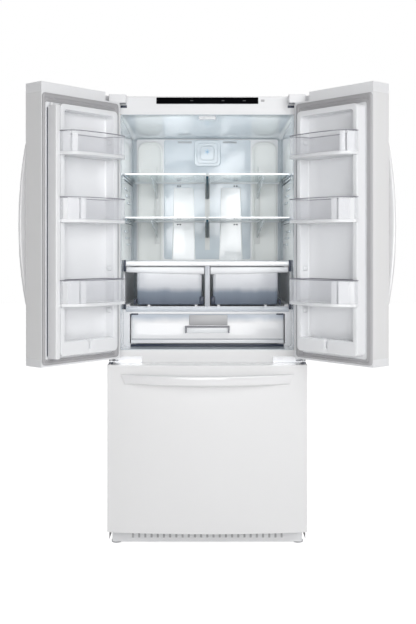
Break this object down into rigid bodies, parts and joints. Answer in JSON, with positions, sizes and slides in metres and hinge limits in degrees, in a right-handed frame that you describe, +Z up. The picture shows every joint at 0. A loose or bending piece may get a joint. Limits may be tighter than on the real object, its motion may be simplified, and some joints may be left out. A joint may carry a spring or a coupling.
{
  "type": "french door refrigerator",
  "caption": "French door refrigerator with two swinging doors over a pull-out freezer drawer, with shelves, crispers, door bins and a hinged mullion flap.",
  "frame": {"origin": "centre of the footprint of the whole assembly with its doors open, on the floor", "axes": "+Z up, +Y towards the back of the cabinet, +X to the right seen from the front"},
  "size_m": [1.3626, 1.0816, 1.735],
  "materials": {
    "white_enamel": "glossy white enamel",
    "white_handle": "glossy white",
    "galvanised": "zinc-coated sheet",
    "foam": "rigid polyurethane foam",
    "white_liner": "vacuum-formed, satin gloss",
    "white_plastic": "moulded, fine satin",
    "black_glass": "gloss black back-printed panel",
    "clear_plastic": "clear polystyrene",
    "shelf_glass": "tempered sheet",
    "gasket": "soft grey vinyl",
    "hinge_steel": "zinc plated",
    "shelf_steel": "grey powder coat",
    "track_steel": "ivory powder coat",
    "black_metal": "satin black",
    "aluminium": "bare fins",
    "black_plastic": "moulded",
    "grey_board": "pressed board",
    "freezer_plastic": "translucent white"
  },
  "bodies": {
    "root": {"outer_case": "white_enamel", "rear_panel": "galvanised", "cabinet_foam": "foam", "fridge_liner": "white_liner", "freezer_liner": "white_liner", "divider_beam": "white_enamel", "top_fascia": "white_plastic", "control_panel": "black_glass", "mullion_guide": "white_plastic", "air_duct_cover": "white_plastic", "filter_cover": "white_plastic", "shelf_tracks": "track_steel", "shelf_brackets": "shelf_steel", "shelf_frames": "clear_plastic", "shelf_glass": "shelf_glass", "drawer_frames": "white_plastic", "door_hinges": "hinge_steel", "hinge_covers": "white_plastic", "base_pan": "galvanised", "toe_grille": "white_plastic", "levelling_legs": "hinge_steel", "compressor": "black_metal", "condenser": "black_metal", "machine_room_cover": "grey_board", "evaporator": "aluminium", "evaporator_cover": "white_plastic", "freezer_fixed_rails": "hinge_steel"},
    "left_door": {"left_door_skin": "white_enamel", "left_door_foam": "foam", "left_door_liner": "white_liner", "left_door_end_caps": "white_plastic", "left_door_gasket": "gasket", "left_door_handle": "white_handle", "left_upper_bin": "clear_plastic", "left_middle_bin": "clear_plastic", "left_lower_bin": "clear_plastic"},
    "right_door": {"right_door_skin": "white_enamel", "right_door_foam": "foam", "right_door_liner": "white_liner", "right_door_end_caps": "white_plastic", "right_door_gasket": "gasket", "right_door_handle": "white_handle", "right_upper_bin": "clear_plastic", "right_middle_bin": "clear_plastic", "right_lower_bin": "clear_plastic"},
    "mullion_flap": {"mullion_flap": "white_plastic"},
    "left_crisper": {"left_crisper": "clear_plastic"},
    "right_crisper": {"right_crisper": "clear_plastic"},
    "pantry_drawer": {"pantry_drawer": "clear_plastic"},
    "freezer_drawer": {"freezer_front_skin": "white_enamel", "freezer_front_foam": "foam", "freezer_front_liner": "white_liner", "freezer_gasket": "gasket", "freezer_handle": "white_handle", "freezer_basket": "freezer_plastic"},
    "freezer_slides": {"freezer_mid_rails": "hinge_steel"},
    "freezer_tray": {"freezer_tray": "freezer_plastic"},
    "evaporator_fan": {"evaporator_fan": "black_plastic"},
    "condenser_fan": {"condenser_fan": "black_plastic"},
    "rear_rollers": {"rear_rollers": "black_plastic"}
  },
  "joints": [
    {"name": "left_door_hinge", "type": "hinge", "parent": "root", "child": "left_door", "pos_m": [-0.3658, -0.202, 1.2], "axis": [0, 0, -1], "range_deg": [-131, 0]},
    {"name": "right_door_hinge", "type": "hinge", "parent": "root", "child": "right_door", "pos_m": [0.3658, -0.202, 1.2], "axis": [0, 0, 1], "range_deg": [-131, 0]},
    {"name": "mullion_flap_hinge", "type": "hinge", "parent": "left_door", "child": "mullion_flap", "pos_m": [-0.55923, -0.48701, 1.2], "axis": [0, 0, 1], "range_deg": [-90, 0]},
    {"name": "left_crisper_slide", "type": "slide", "parent": "root", "child": "left_crisper", "axis": [0, -1, 0], "range_m": [0, 0.34]},
    {"name": "right_crisper_slide", "type": "slide", "parent": "root", "child": "right_crisper", "axis": [0, -1, 0], "range_m": [0, 0.34]},
    {"name": "pantry_slide", "type": "slide", "parent": "root", "child": "pantry_drawer", "axis": [0, -1, 0], "range_m": [0, 0.34]},
    {"name": "freezer_drawer_slide", "type": "slide", "parent": "root", "child": "freezer_drawer", "axis": [0, -1, 0], "range_m": [0, 0.4]},
    {"name": "freezer_mid_slide", "type": "slide", "parent": "root", "child": "freezer_slides", "axis": [0, -1, 0], "range_m": [0, 0.2]},
    {"name": "freezer_tray_slide", "type": "slide", "parent": "root", "child": "freezer_tray", "axis": [0, -1, 0], "range_m": [0, 0.2]},
    {"name": "evaporator_fan_spin", "type": "hinge", "parent": "root", "child": "evaporator_fan", "pos_m": [0, 0.391, 0.61], "axis": [0, 1, 0], "continuous": true},
    {"name": "condenser_fan_spin", "type": "hinge", "parent": "root", "child": "condenser_fan", "pos_m": [-0.04, 0.426, 0.134], "axis": [1, 0, 0], "continuous": true},
    {"name": "rear_roller_spin", "type": "hinge", "parent": "root", "child": "rear_rollers", "pos_m": [0, 0.481, 0.021], "axis": [1, 0, 0], "continuous": true}
  ],
  "couplings": [
    {"joint": "freezer_mid_slide", "follows": "freezer_drawer_slide", "ratio": 0.5},
    {"joint": "freezer_tray_slide", "follows": "freezer_drawer_slide", "ratio": 0.5}
  ]
}
